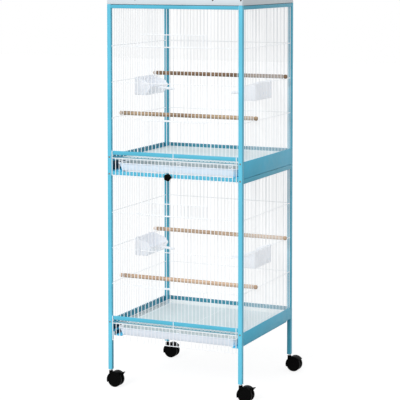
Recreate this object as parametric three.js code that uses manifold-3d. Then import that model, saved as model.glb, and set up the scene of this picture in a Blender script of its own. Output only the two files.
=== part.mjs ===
// Two-tier canary breeding cage on casters: a square tube frame, wire panels, a roof pan,
// two swing doors, two pull-out trays with wire floor grates, perches, feeder cups and casters.
// Millimetres, +Z up, the front faces -Y. Everything is drawn about the frame's middle, on the floor.

import * as THREE from 'three';
import { mergeGeometries, mergeVertices } from 'three/addons/utils/BufferGeometryUtils.js';
import Module from 'manifold-3d';

const wasm = await Module();
wasm.setup();

// Overall frame
const FRAME_WIDTH = 440;
const FRAME_DEPTH = 408;
const SHEET = 1.2;
const SEAT_GAP = 0.3;
const POST_SIZE = 12.6;
const POST_FOOT_Z = 51.5;
const LEG_HEIGHT = 103.5;

// Rails and skirts. A drop is measured down from the top of a tier.
const TOP_RAIL_HEIGHT = 12;
const TOP_RAIL_FLANGE = 10;
const MIDDLE_RAIL_HEIGHT = 10.6;
const MIDDLE_RAIL_FLANGE = 12.4;
const MIDDLE_SIDE_RAIL_HEIGHT = 13.3;
const BASE_RAIL_DROP = 439.8;
const BASE_RAIL_HEIGHT = 12;
const REAR_RAIL_BELOW = 15.8;
const REAR_RAIL_HEIGHT = 13;
const SKIRT_BELOW = 14.2;
const UPPER_SKIRT_TUCK = 1.7;
const SKIRT_SEAM = 1.5;
const LOWER_SKIRT_HEIGHT = 37;
const RUNNER_BEARING = 4.2;
const RUNNER_STEP_CLEARANCE = 9.3;

// Roof pan
const ROOF_RIM_HEIGHT = 22.7;
const ROOF_SHEET = 1.5;

// Wire panels
const WIRE_PITCH = 11.93;
const UPRIGHT_WIRE = 2;
const CROSS_WIRE = 2.2;
const THICK_WIRE = 3;
const WELD_GAP = 0.25;
const PANEL_END_CLEARANCE = 3;
const PANEL_BELOW_RAIL = 7.5;
const FIRST_CROSS_WIRE_DROP = 125;
const CROSS_WIRE_SPACING = 108.6;
const CROSS_WIRE_COUNT = 3;

// Front doors
const DOOR_HALF_GAPS = 10;
const DOOR_ABOVE_HEADER = 37.6;
const DOOR_BELOW_SILL = 3.4;
const DOOR_GAPS = 18;
const DOOR_SIDE_CLEARANCE = 13.3;
const DOOR_PLANE_CLEARANCE = 1.3;
const HINGE_EYE_BORE = 2.6;
const HINGE_EYE_WALL = 1.8;
const HINGE_EYE_HEIGHT = 4;
const HINGE_EYE_GAP = 0.4;
const LATCH_OVERREACH = 2.5;

// Pull-out trays
const TRAY_HEIGHT = 24.7;
const TRAY_HEADROOM = 16.7;
const TRAY_SIDE_SETBACK = 27.5;
const TRAY_LIP = 3;
const TRAY_SHEET = 1.5;
const TRAY_DRAFT = 7.5;
const TRAY_FRONT_SETBACK = 15;
const TRAY_REAR_CLEARANCE = 11;

// Wire floor grate over each tray, with a guard at its front
const GUARD_CLEARANCE = 2.2;
const GUARD_BELOW_PANEL = 2.2;
const GUARD_BELOW_TRAY = 11.6;
const GRATE_ARM_INSET_GAPS = 2;
const GRATE_MIDDLE_ARM_COLUMN = 1;
const GRATE_ABOVE_TRAY = 7;
const GRATE_HOOK_GRIP = 6;

// Knob on the upper guard
const KNOB_X = -15.5;
const KNOB_ABOVE_WIRE = 2.7;
const KNOB_RADIUS = 11.3;
const KNOB_LOBES = 5;
const KNOB_LOBE_DEPTH = 1.3;
const KNOB_THICKNESS = 10;
const KNOB_SHANK_RADIUS = 2.4;
const KNOB_WASHER_RADIUS = 7.5;
const KNOB_WASHER_THICKNESS = 1.3;

// Perches
const PERCH_RADIUS = 6.3;
const PERCH_GROOVE_RADIUS = 4.6;
const PERCH_GROOVE_CLEARANCE = 1.1;
const PERCH_END_OVERHANG = 8;
const FRONT_PERCH_COLUMN = -9;
const REAR_PERCH_COLUMN = 11;

// Feeder cups
const CUP_LENGTH = 126;
const CUP_BACK_HEIGHT = 56;
const CUP_ABOVE_WIRE = 5;
const CUP_FLOOR_DEPTH = 40;
const CUP_LIP_DEPTH = 56;
const CUP_LIP_HEIGHT = 26;
const CUP_CHEEK_DEPTH = 44;
const CUP_CHEEK_HEIGHT = 41;
const CUP_WALL = 1.8;
const CUP_HOOK_WIDTH = 6;
const CUP_HOOK_THICKNESS = 1.5;
const CUP_HOOK_DROP = 8;
const CUP_STUB_RADIUS = 4;
const CUP_STUB_LENGTH = 58;
const CUP_STUB_HEIGHT = 22;
const CUP_STUB_DROOP = 5;
const LEFT_CUP_GAPS = [-1, 6];
const RIGHT_CUP_GAPS = [-6, 2];

// Twin-wheel casters
const WHEEL_RADIUS = 22;
const CASTER_WIDTH = 30;
const WHEEL_EDGE_RADIUS = 1.5;
const CASTER_TRAIL = 17.3;
const CASTER_WEB = 6;
const ROUND_SEGMENTS = 24;
const AXLE_RADIUS = 3;
const AXLE_CLEARANCE = 0.35;
const HUB_RADIUS = 8;
const WHEEL_CLEARANCE = 0.8;
const HOOD_WALL = 2;
const HOOD_SEGMENTS = 9;
const HOOD_FRONT_ANGLE = 200;
const HOOD_REAR_ANGLE = 35;
const BOSS_RADIUS = 6;
const BOSS_TOP_Z = 47.2;
const BOSS_LENGTH = 18;
const STEM_RADIUS = 3;
const STEM_CLEARANCE = 0.35;
const STEM_DEPTH = 6.5;
const COLLAR_RADIUS = 4.6;
const LEVER_WIDTH = 12;
const LEVER_THICKNESS = 3;
const LEVER_REACH = 13;
const LEVER_PIVOT_ANGLE = 52;
const LEVER_RISE = 15;
const LEVER_KNUCKLE_RADIUS = 2.6;
const LEVER_SLOT_END_ANGLE = 60;

// Worked-out places
const PANEL_INSET = SHEET + SEAT_GAP + UPRIGHT_WIRE / 2;
const HALF_W = FRAME_WIDTH / 2;
const HALF_D = FRAME_DEPTH / 2;
const PANEL_BOTTOM_DROP = BASE_RAIL_DROP + BASE_RAIL_HEIGHT + PANEL_BELOW_RAIL;
const TRAY_TOP_DROP = PANEL_BOTTOM_DROP + UPRIGHT_WIRE / 2 + TRAY_HEADROOM;
const TIER_PITCH = TRAY_TOP_DROP + TRAY_HEIGHT + SEAT_GAP;
const LOWER_TIER_TOP_Z = POST_FOOT_Z + LEG_HEIGHT + TIER_PITCH;
const UPPER_TIER_TOP_Z = LOWER_TIER_TOP_Z + TIER_PITCH;
const CROSS_WIRE_DROPS = Array.from(
  { length: CROSS_WIRE_COUNT }, (_, i) => FIRST_CROSS_WIRE_DROP + i * CROSS_WIRE_SPACING);
const TRAY_TOP_HALF_WIDTH = HALF_W - TRAY_SIDE_SETBACK;
const PANEL_X = HALF_W - PANEL_INSET;
const PANEL_Y = HALF_D - PANEL_INSET;
const RAIL_HALF_X = HALF_W - POST_SIZE - SEAT_GAP;
const RAIL_HALF_Y = HALF_D - POST_SIZE - SEAT_GAP;
const GUARD_Y = -HALF_D - GUARD_CLEARANCE - UPRIGHT_WIRE / 2;
const STIFFENER_X = DOOR_HALF_GAPS * WIRE_PITCH;
const CROSS_INSET = PANEL_INSET + UPRIGHT_WIRE / 2 + WELD_GAP + CROSS_WIRE / 2;

// Finishes
const finish = (color, roughness, metalness) => ({ color, roughness, metalness });
const BLUE = finish(0x74c6e2, 0.45, 0.1);
const PALE = finish(0xe6e9ef, 0.45, 0.1);
const WHITE_WIRE = finish(0xf2f4f6, 0.4, 0.1);
const WOOD = finish(0xc08a66, 0.8, 0);
const CUP_PLASTIC = finish(0xeef1f5, 0.35, 0);
const BLACK = finish(0x101010, 0.5, 0);

const cage = new THREE.Group();

function addMesh(name, geometry, look) {
  const mesh = new THREE.Mesh(geometry, new THREE.MeshStandardMaterial(look));
  mesh.name = name;
  cage.add(mesh);
  return mesh;
}

// Booleans

function toSolid(geometry) {
  const bare = geometry.clone();
  bare.deleteAttribute('normal');
  bare.deleteAttribute('uv');
  const merged = mergeVertices(bare, 1e-4);
  const vertProperties = new Float32Array(merged.attributes.position.array);
  const triVerts = new Uint32Array(merged.index.array);
  return new wasm.Manifold(new wasm.Mesh({ numProp: 3, vertProperties, triVerts }));
}

function toGeometry(solid) {
  const mesh = solid.getMesh();
  const geometry = new THREE.BufferGeometry();
  geometry.setAttribute('position', new THREE.BufferAttribute(new Float32Array(mesh.vertProperties), 3));
  geometry.setIndex(new THREE.BufferAttribute(new Uint32Array(mesh.triVerts), 1));
  geometry.computeVertexNormals();
  return geometry;
}

function join(geometries) {
  return toGeometry(geometries.map(toSolid).reduce((sum, next) => sum.add(next)));
}

// How far a cutting tool runs past the face it opens.
const CUT_MARGIN = 1;

function cut(body, tools) {
  return toGeometry(tools.map(toSolid).reduce((rest, tool) => rest.subtract(tool), toSolid(body)));
}

// Basic shapes

const degrees = (angle) => (angle * Math.PI) / 180;
function box(x0, x1, y0, y1, z0, z1) {
  const geometry = new THREE.BoxGeometry(x1 - x0, y1 - y0, z1 - z0);
  return geometry.translate((x0 + x1) / 2, (y0 + y1) / 2, (z0 + z1) / 2);
}

function outline(points) {
  return new THREE.Shape(points.map(([u, v]) => new THREE.Vector2(u, v)));
}

// A shape drawn in X and Z, extruded towards +Y from y0.
function extrudeAlongY(shape, y0, length, curveSegments = 12) {
  const geometry = new THREE.ExtrudeGeometry(shape, { depth: length, bevelEnabled: false, curveSegments });
  return geometry.rotateX(Math.PI / 2).translate(0, y0 + length, 0);
}

// A shape drawn in Y and Z, extruded towards +X from x0.
function extrudeAlongX(shape, x0, length) {
  const geometry = new THREE.ExtrudeGeometry(shape, { depth: length, bevelEnabled: false });
  return geometry.rotateX(Math.PI / 2).rotateZ(Math.PI / 2).translate(x0, 0, 0);
}

function rodAlongX(radius, x0, x1, y, z, segments) {
  const geometry = new THREE.CylinderGeometry(radius, radius, x1 - x0, segments);
  return geometry.rotateZ(Math.PI / 2).translate((x0 + x1) / 2, y, z);
}

function rodAlongY(radius, y0, y1, x, z, segments) {
  const geometry = new THREE.CylinderGeometry(radius, radius, y1 - y0, segments);
  return geometry.translate(x, (y0 + y1) / 2, z);
}

function rodAlongZ(radius, z0, z1, x, y, segments) {
  const geometry = new THREE.CylinderGeometry(radius, radius, z1 - z0, segments);
  return geometry.rotateX(Math.PI / 2).translate(x, y, (z0 + z1) / 2);
}

// A box whose bottom face is drawn in by draft on every side.
function taperedBox(halfX, y0, y1, z0, z1, draft) {
  const geometry = box(-halfX, halfX, y0, y1, z0, z1);
  const position = geometry.attributes.position;
  for (let i = 0; i < position.count; i += 1) {
    if (position.getZ(i) < (z0 + z1) / 2) {
      const inX = position.getX(i) < 0 ? draft : -draft;
      const inY = position.getY(i) < (y0 + y1) / 2 ? draft : -draft;
      position.setX(i, position.getX(i) + inX);
      position.setY(i, position.getY(i) + inY);
    }
  }
  return geometry;
}

// Mirrored copies keep their faces pointing out.
function mirrorX(geometry) {
  const copy = geometry.index ? geometry.toNonIndexed() : geometry.clone();
  copy.scale(-1, 1, 1);
  const position = copy.attributes.position;
  const corner = new THREE.Vector3();
  const other = new THREE.Vector3();
  for (let i = 0; i < position.count; i += 3) {
    corner.fromBufferAttribute(position, i);
    other.fromBufferAttribute(position, i + 1);
    position.setXYZ(i, other.x, other.y, other.z);
    position.setXYZ(i + 1, corner.x, corner.y, corner.z);
  }
  copy.computeVertexNormals();
  return copy;
}

// Corner posts: a square tube, closed at the foot, with a collar and a caster stem below.

function buildPost(name, sideX, sideY) {
  const x = sideX * (HALF_W - POST_SIZE / 2);
  const y = sideY * (HALF_D - POST_SIZE / 2);
  const square = (size, z0, z1) => box(x - size / 2, x + size / 2, y - size / 2, y + size / 2, z0, z1);
  const footTop = POST_FOOT_Z + SHEET * 2;
  const stemEnd = BOSS_TOP_Z + SEAT_GAP - STEM_DEPTH;
  const post = join([
    square(POST_SIZE, POST_FOOT_Z, UPPER_TIER_TOP_Z),
    rodAlongZ(COLLAR_RADIUS, BOSS_TOP_Z + SEAT_GAP, POST_FOOT_Z + SHEET, x, y, 12),
    rodAlongZ(STEM_RADIUS, stemEnd, POST_FOOT_Z, x, y, 12),
  ]);
  const bore = square(POST_SIZE - 2 * SHEET, footTop, UPPER_TIER_TOP_Z + CUT_MARGIN);
  addMesh(name, cut(post, [bore]), BLUE);
}

buildPost('post_front_left', -1, -1);
buildPost('post_front_right', 1, -1);
buildPost('post_rear_left', -1, 1);
buildPost('post_rear_right', 1, 1);

// Top rails of each tier: angles with the flange on top, turned inwards.

function angleOutline(outer, side, topZ, height, depth) {
  const sheet = side < 0 ? SHEET : -SHEET;
  const flange = side < 0 ? depth : -depth;
  const points = [
    [outer, topZ - height],
    [outer + sheet, topZ - height],
    [outer + sheet, topZ - SHEET],
    [outer + flange, topZ - SHEET],
    [outer + flange, topZ],
    [outer, topZ],
  ];
  return outline(side < 0 ? points : points.reverse());
}

function buildTopRails(tier, topZ, height, depth, sideTopZ, sideHeight) {
  for (const [place, side] of [['front', -1], ['rear', 1]]) {
    const section = angleOutline(side * HALF_D, side, topZ, height, depth);
    addMesh(`${tier}_rail_${place}`, extrudeAlongX(section, -RAIL_HALF_X, 2 * RAIL_HALF_X), BLUE);
  }
  for (const [place, side] of [['left', -1], ['right', 1]]) {
    const section = angleOutline(side * HALF_W, side, sideTopZ, sideHeight, TOP_RAIL_FLANGE);
    addMesh(`${tier}_rail_${place}`, extrudeAlongY(section, -RAIL_HALF_Y, 2 * RAIL_HALF_Y), BLUE);
  }
}

// The middle side rails hang below the bottom edge of the upper skirts.
const MIDDLE_SIDE_RAIL_TOP_Z = LOWER_TIER_TOP_Z - UPPER_SKIRT_TUCK - SKIRT_SEAM;

buildTopRails(
  'top', UPPER_TIER_TOP_Z, TOP_RAIL_HEIGHT, TOP_RAIL_FLANGE, UPPER_TIER_TOP_Z, TOP_RAIL_HEIGHT);
buildTopRails(
  'middle', LOWER_TIER_TOP_Z, MIDDLE_RAIL_HEIGHT, MIDDLE_RAIL_FLANGE,
  MIDDLE_SIDE_RAIL_TOP_Z, MIDDLE_SIDE_RAIL_HEIGHT);

// Base of each tier: a front and a rear rail, and side skirts whose inner fold carries the tray.

function skirtTopZ(tierTopZ) {
  return tierTopZ - BASE_RAIL_DROP - SKIRT_BELOW;
}

function skirtOutline(tierTopZ, bottom) {
  const top = skirtTopZ(tierTopZ);
  const runnerTop = tierTopZ - TIER_PITCH;
  const runnerBottom = runnerTop - SHEET;
  const inner = HALF_W - SHEET;
  const runnerTip = TRAY_TOP_HALF_WIDTH - TRAY_DRAFT - RUNNER_BEARING;
  if (bottom < runnerBottom) {
    return outline([
      [HALF_W, bottom],
      [HALF_W, top],
      [inner, top],
      [inner, runnerTop],
      [runnerTip, runnerTop],
      [runnerTip, runnerBottom],
      [inner, runnerBottom],
      [inner, bottom],
    ]);
  }
  const stepX = TRAY_TOP_HALF_WIDTH + TRAY_LIP + RUNNER_STEP_CLEARANCE;
  return outline([
    [HALF_W, bottom],
    [HALF_W, top],
    [inner, top],
    [inner, bottom + SHEET],
    [stepX, bottom + SHEET],
    [stepX, runnerTop],
    [runnerTip, runnerTop],
    [runnerTip, runnerBottom],
    [stepX + SHEET, runnerBottom],
    [stepX + SHEET, bottom],
  ]);
}

function buildBase(tier, tierTopZ, skirtBottomZ) {
  const railTop = tierTopZ - BASE_RAIL_DROP;
  const rearTop = railTop - REAR_RAIL_BELOW;
  const front = box(
    -RAIL_HALF_X, RAIL_HALF_X, -HALF_D, -HALF_D + SHEET, railTop - BASE_RAIL_HEIGHT, railTop);
  const rear = box(
    -RAIL_HALF_X, RAIL_HALF_X, HALF_D - SHEET, HALF_D, rearTop - REAR_RAIL_HEIGHT, rearTop);
  const skirt = extrudeAlongY(skirtOutline(tierTopZ, skirtBottomZ), -RAIL_HALF_Y, 2 * RAIL_HALF_Y);
  addMesh(`${tier}_base_rail_front`, front, BLUE);
  addMesh(`${tier}_base_rail_rear`, rear, BLUE);
  addMesh(`${tier}_side_skirt_left`, mirrorX(skirt), BLUE);
  addMesh(`${tier}_side_skirt_right`, skirt, BLUE);
}

buildBase('upper', UPPER_TIER_TOP_Z, LOWER_TIER_TOP_Z - UPPER_SKIRT_TUCK);
buildBase('lower', LOWER_TIER_TOP_Z, skirtTopZ(LOWER_TIER_TOP_Z) - LOWER_SKIRT_HEIGHT);

// Roof pan: a flat sheet with a rim turned down all round, seated on the posts and top rails.

function buildRoof() {
  const bottom = UPPER_TIER_TOP_Z + SEAT_GAP;
  const top = bottom + ROOF_RIM_HEIGHT;
  const inX = HALF_W - ROOF_SHEET;
  const inY = HALF_D - ROOF_SHEET;
  const pan = cut(box(-HALF_W, HALF_W, -HALF_D, HALF_D, bottom, top), [
    box(-inX, inX, -inY, inY, bottom - CUT_MARGIN, top - ROOF_SHEET),
  ]);
  addMesh('roof_pan', pan, PALE);
}

buildRoof();

// Wire panels. The uprights and the end bars are one flat ladder, drawn as a plate with a hole
// between each two wires. The cross wires lie on the inside and are held by the end uprights.

function cutPlate(u0, u1, v0, v1, y0, holes) {
  const plate = box(u0, u1, y0, y0 + UPRIGHT_WIRE, v0, v1);
  const tools = holes.map(([left, right, low, high]) =>
    box(left, right, y0 - CUT_MARGIN, y0 + UPRIGHT_WIRE + CUT_MARGIN, low, high));
  return cut(plate, [mergeGeometries(tools)]);
}

function ladder(uprights, bottom, top, y0) {
  const half = UPRIGHT_WIRE / 2;
  const last = uprights.length - 1;
  const holes = uprights.slice(1).map((u, i) =>
    [uprights[i] + half, u - half, bottom + UPRIGHT_WIRE, top - UPRIGHT_WIRE]);
  return cutPlate(uprights[0] - half, uprights[last] + half, bottom, top, y0, holes);
}

function columns(count, pitch) {
  return Array.from({ length: count }, (_, i) => (i - (count - 1) / 2) * pitch);
}

// Whole gaps that fit each side of the middle. A wire stands at the middle of the front and rear,
// and a gap at the middle of the sides.
function fittingGaps(halfSpan, middleGap) {
  return Math.floor((halfSpan - PANEL_END_CLEARANCE - middleGap / 2) / WIRE_PITCH);
}

const FRONT_HALF_GAPS = fittingGaps(RAIL_HALF_X, 0);
const FRONT_COLUMNS = columns(1 + 2 * FRONT_HALF_GAPS, WIRE_PITCH);
const SIDE_COLUMNS = columns(2 + 2 * fittingGaps(RAIL_HALF_Y, WIRE_PITCH), WIRE_PITCH);

// Cross wires of a panel drawn at the rear, with a tab at each end that joins the end upright.
function crossWire(u0, u1, z, tabs) {
  const half = CROSS_WIRE / 2;
  const near = HALF_D - CROSS_INSET - half;
  const wire = box(u0, u1, near, near + CROSS_WIRE, z - half, z + half);
  const tabHalf = UPRIGHT_WIRE / 2;
  const tabBoxes = tabs.map((u) =>
    box(u - tabHalf, u + tabHalf, near + half, PANEL_Y, z - half / 2, z + half / 2));
  return [wire, ...tabBoxes];
}

// Levels of one panel: its ends behind the rails, and its cross wires.
function panelLevels(tierTopZ, railTopZ) {
  return {
    top: railTopZ - SHEET - SEAT_GAP,
    bottom: tierTopZ - PANEL_BOTTOM_DROP - UPRIGHT_WIRE / 2,
    crossZ: CROSS_WIRE_DROPS.map((drop) => tierTopZ - drop),
  };
}

// The end bars run on to the posts on both sides.
function endBars(reach, { top, bottom }) {
  const y0 = PANEL_Y - UPRIGHT_WIRE / 2;
  return [bottom, top - UPRIGHT_WIRE].map((z) =>
    box(-reach, reach, y0, y0 + UPRIGHT_WIRE, z, z + UPRIGHT_WIRE));
}

function plainPanel(uprights, reach, levels) {
  const end = -uprights[0];
  const wires = levels.crossZ.flatMap((z) => crossWire(-reach, reach, z, [-end, end]));
  const grille = ladder(uprights, levels.bottom, levels.top, PANEL_Y - UPRIGHT_WIRE / 2);
  return join([grille, ...endBars(reach, levels), ...wires]);
}

// The front panel has a doorway between two thick uprights, with a header and a sill.
function frontPanel(levels) {
  const { top, bottom, crossZ: [header, middle, sill] } = levels;
  const half = UPRIGHT_WIRE / 2;
  const barHalf = CROSS_WIRE / 2;
  const doorEdge = STIFFENER_X - THICK_WIRE / 2;
  const end = -FRONT_COLUMNS[0];
  const reach = RAIL_HALF_X;
  const wireEdge = (u) => (Math.abs(Math.abs(u) - STIFFENER_X) < half ? THICK_WIRE / 2 : half);
  const holes = FRONT_COLUMNS.slice(1).flatMap((u, i) => {
    const left = FRONT_COLUMNS[i] + wireEdge(FRONT_COLUMNS[i]);
    const right = u - wireEdge(u);
    if (Math.abs(left + right) / 2 > STIFFENER_X) {
      return [[left, right, bottom + UPRIGHT_WIRE, top - UPRIGHT_WIRE]];
    }
    return [
      [left, right, header + barHalf, top - UPRIGHT_WIRE],
      [left, right, bottom + UPRIGHT_WIRE, sill - barHalf],
    ];
  });
  holes.push([-doorEdge, doorEdge, sill + barHalf, header - barHalf]);
  const grille = cutPlate(-end - half, end + half, bottom, top, PANEL_Y - half, holes);
  const wires = [
    ...crossWire(-reach, reach, header, [-end, end]),
    ...crossWire(-reach, reach, sill, [-end, end]),
    ...crossWire(-reach, -doorEdge, middle, [-end, -STIFFENER_X]),
    ...crossWire(doorEdge, reach, middle, [STIFFENER_X, end]),
  ];
  return join([grille, ...endBars(reach, levels), ...wires]).rotateZ(Math.PI);
}

function buildPanels(tier, tierTopZ, sideRailTopZ) {
  const levels = panelLevels(tierTopZ, tierTopZ);
  const side = plainPanel(SIDE_COLUMNS, RAIL_HALF_Y, panelLevels(tierTopZ, sideRailTopZ));
  side.translate(0, PANEL_X - PANEL_Y, 0);
  addMesh(`${tier}_panel_front`, frontPanel(levels), WHITE_WIRE);
  addMesh(`${tier}_panel_rear`, plainPanel(FRONT_COLUMNS, RAIL_HALF_X, levels), WHITE_WIRE);
  addMesh(`${tier}_panel_left`, side.clone().rotateZ(Math.PI / 2), WHITE_WIRE);
  addMesh(`${tier}_panel_right`, side.rotateZ(-Math.PI / 2), WHITE_WIRE);
}

buildPanels('upper', UPPER_TIER_TOP_Z, UPPER_TIER_TOP_Z);
buildPanels('lower', LOWER_TIER_TOP_Z, MIDDLE_SIDE_RAIL_TOP_Z);

// Front doors: a ladder that hangs by two wire eyes on the left thick upright and swings out.

function buildDoor(tier, tierTopZ) {
  const half = UPRIGHT_WIRE / 2;
  const thick = THICK_WIRE / 2;
  const backY = -PANEL_Y - half - DOOR_PLANE_CLEARANCE;
  const frontY = backY - UPRIGHT_WIRE;
  const edgeX = STIFFENER_X - DOOR_SIDE_CLEARANCE;
  const [header, wireZ, sill] = CROSS_WIRE_DROPS.map((drop) => tierTopZ - drop);
  const top = header + DOOR_ABOVE_HEADER + half;
  const bottom = sill - DOOR_BELOW_SILL - half;
  const grille = ladder(columns(DOOR_GAPS + 1, (2 * edgeX) / DOOR_GAPS), bottom, top, frontY);
  const latchEnd = STIFFENER_X + LATCH_OVERREACH;
  const barFrontY = frontY - WELD_GAP - THICK_WIRE;
  const latchBar = box(
    -edgeX - half, latchEnd, barFrontY, barFrontY + THICK_WIRE, header - thick, header + thick);
  const eyeZ = [header + CROSS_WIRE / 2 + HINGE_EYE_GAP, sill + CROSS_WIRE / 2 + HINGE_EYE_GAP];
  const wireFrontY = frontY - WELD_GAP - CROSS_WIRE;
  const middleWire = box(
    -edgeX - half, edgeX + half, wireFrontY, wireFrontY + CROSS_WIRE, wireZ - half, wireZ + half);
  const parts = [grille, latchBar, middleWire];
  for (const side of [-1, 1]) {
    const u = side * edgeX;
    parts.push(box(u - half, u + half, barFrontY + thick, backY - half, header - half, header + half));
    parts.push(box(u - half, u + half, wireFrontY + half, backY - half, wireZ - half / 2, wireZ + half / 2));
  }
  const outer = HINGE_EYE_BORE + HINGE_EYE_WALL;
  const armFrontY = -PANEL_Y - outer;
  for (const z of eyeZ) {
    parts.push(hingeEye(z).translate(-STIFFENER_X, -PANEL_Y, 0));
    parts.push(box(
      -STIFFENER_X, -edgeX + half, Math.min(armFrontY, frontY), backY - half / 2, z, z + HINGE_EYE_HEIGHT));
  }
  addMesh(`${tier}_door`, cut(join(parts), eyeZ.map((z) => hingeBore(z))), WHITE_WIRE);
}

function hingeEye(z) {
  const outer = HINGE_EYE_BORE + HINGE_EYE_WALL;
  const profile = [
    [HINGE_EYE_BORE, z],
    [outer, z],
    [outer, z + HINGE_EYE_HEIGHT],
    [HINGE_EYE_BORE, z + HINGE_EYE_HEIGHT],
    [HINGE_EYE_BORE, z],
  ].map(([r, h]) => new THREE.Vector2(r, h));
  return new THREE.LatheGeometry(profile, 12).rotateX(Math.PI / 2);
}

function hingeBore(z) {
  const top = z + HINGE_EYE_HEIGHT;
  return rodAlongZ(HINGE_EYE_BORE, z - CUT_MARGIN, top + CUT_MARGIN, -STIFFENER_X, -PANEL_Y, 12);
}

buildDoor('upper', UPPER_TIER_TOP_Z);
buildDoor('lower', LOWER_TIER_TOP_Z);

// Trays: shallow pans with sloped walls and a rolled lip, standing on the skirts' runners.

const TRAY_FRONT_Y = -HALF_D + TRAY_FRONT_SETBACK;
const TRAY_REAR_Y = HALF_D - TRAY_REAR_CLEARANCE - TRAY_LIP;

function trayBottomZ(tierTopZ) {
  return tierTopZ - TIER_PITCH + SEAT_GAP;
}

function buildTray(tier, tierTopZ) {
  const bottom = trayBottomZ(tierTopZ);
  const top = bottom + TRAY_HEIGHT;
  const outer = taperedBox(TRAY_TOP_HALF_WIDTH, TRAY_FRONT_Y, TRAY_REAR_Y, bottom, top, TRAY_DRAFT);
  const lip = box(
    -TRAY_TOP_HALF_WIDTH - TRAY_LIP, TRAY_TOP_HALF_WIDTH + TRAY_LIP,
    TRAY_FRONT_Y - TRAY_LIP, TRAY_REAR_Y + TRAY_LIP, top - TRAY_SHEET, top);
  const inner = taperedBox(
    TRAY_TOP_HALF_WIDTH - TRAY_SHEET, TRAY_FRONT_Y + TRAY_SHEET, TRAY_REAR_Y - TRAY_SHEET,
    bottom + TRAY_SHEET, top + CUT_MARGIN, TRAY_DRAFT);
  addMesh(`${tier}_tray`, cut(join([outer, lip]), [inner]), PALE);
}

buildTray('upper', UPPER_TIER_TOP_Z);
buildTray('lower', LOWER_TIER_TOP_Z);

// Floor grates: each stands on its tray's lip on three long wires, which hook over the lip at the
// front and run on to a guard that hangs before the tray slot. Three fingers of the guard reach
// up in front of the base rail.

const GUARD_FINGER_COLUMNS = [-FRONT_HALF_GAPS, 0, FRONT_HALF_GAPS];
const GRATE_ARM_END = FRONT_HALF_GAPS - GRATE_ARM_INSET_GAPS;
const GRATE_ARM_COLUMNS = [-GRATE_ARM_END, GRATE_MIDDLE_ARM_COLUMN, GRATE_ARM_END];
const GRATE_HALF_GAPS = Math.floor(RAIL_HALF_Y / WIRE_PITCH);

function guardWireZ(tierTopZ) {
  return trayBottomZ(tierTopZ) - GUARD_BELOW_TRAY;
}

function guardParts(tierTopZ) {
  const half = UPRIGHT_WIRE / 2;
  const top = tierTopZ - PANEL_BOTTOM_DROP - GUARD_BELOW_PANEL + half;
  const bottom = guardWireZ(tierTopZ) - half;
  const fingerTop = tierTopZ - BASE_RAIL_DROP;
  const fingers = GUARD_FINGER_COLUMNS.map((column) => {
    const x = column * WIRE_PITCH;
    return box(x - half, x + half, GUARD_Y - half, GUARD_Y + half, top - half, fingerTop);
  });
  return [ladder(FRONT_COLUMNS, bottom, top, GUARD_Y - half), ...fingers];
}

// A long wire with its feet: a Z bend over the front lip and a straight foot on the rear lip.
function grateArm(x, lipZ, wireZ) {
  const half = UPRIGHT_WIRE / 2;
  const lipFrontY = TRAY_FRONT_Y - TRAY_LIP;
  const rearY = TRAY_REAR_Y + TRAY_LIP;
  const wallLean = (GRATE_HOOK_GRIP * TRAY_DRAFT) / TRAY_HEIGHT;
  const hookY = TRAY_FRONT_Y + TRAY_SHEET + wallLean + SEAT_GAP;
  const at = (y0, y1, z0, z1) => box(x - half, x + half, y0, y1, z0, z1);
  return [
    at(GUARD_Y, rearY, wireZ, wireZ + UPRIGHT_WIRE),
    at(lipFrontY, lipFrontY + UPRIGHT_WIRE, lipZ, wireZ + half),
    at(lipFrontY, hookY + UPRIGHT_WIRE, lipZ, lipZ + UPRIGHT_WIRE),
    at(hookY, hookY + UPRIGHT_WIRE, lipZ - GRATE_HOOK_GRIP, lipZ + half),
    at(rearY - UPRIGHT_WIRE, rearY, lipZ, wireZ + half),
  ];
}

function buildGrate(tier, tierTopZ) {
  const half = UPRIGHT_WIRE / 2;
  const lipZ = trayBottomZ(tierTopZ) + TRAY_HEIGHT + SEAT_GAP;
  const wireZ = lipZ + GRATE_ABOVE_TRAY;
  const floorZ = wireZ + UPRIGHT_WIRE + WELD_GAP;
  const endX = FRONT_HALF_GAPS * WIRE_PITCH + half;
  const rungs = columns(2 * GRATE_HALF_GAPS + 1, WIRE_PITCH);
  const floor = ladder(rungs, -endX, endX, floorZ).rotateX(Math.PI / 2).rotateZ(Math.PI / 2);
  const parts = [...guardParts(tierTopZ), floor];
  for (const column of GRATE_ARM_COLUMNS) {
    const x = column * WIRE_PITCH;
    parts.push(...grateArm(x, lipZ, wireZ));
    for (const y of [rungs[0], -rungs[0]]) {
      parts.push(box(x - half, x + half, y - half, y + half, wireZ + half, floorZ + half));
    }
  }
  addMesh(`${tier}_floor_grate`, join(parts), WHITE_WIRE);
}

buildGrate('upper', UPPER_TIER_TOP_Z);
buildGrate('lower', LOWER_TIER_TOP_Z);

// Star knob on the upper guard: its shank passes between two wires to a washer behind them.

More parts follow.
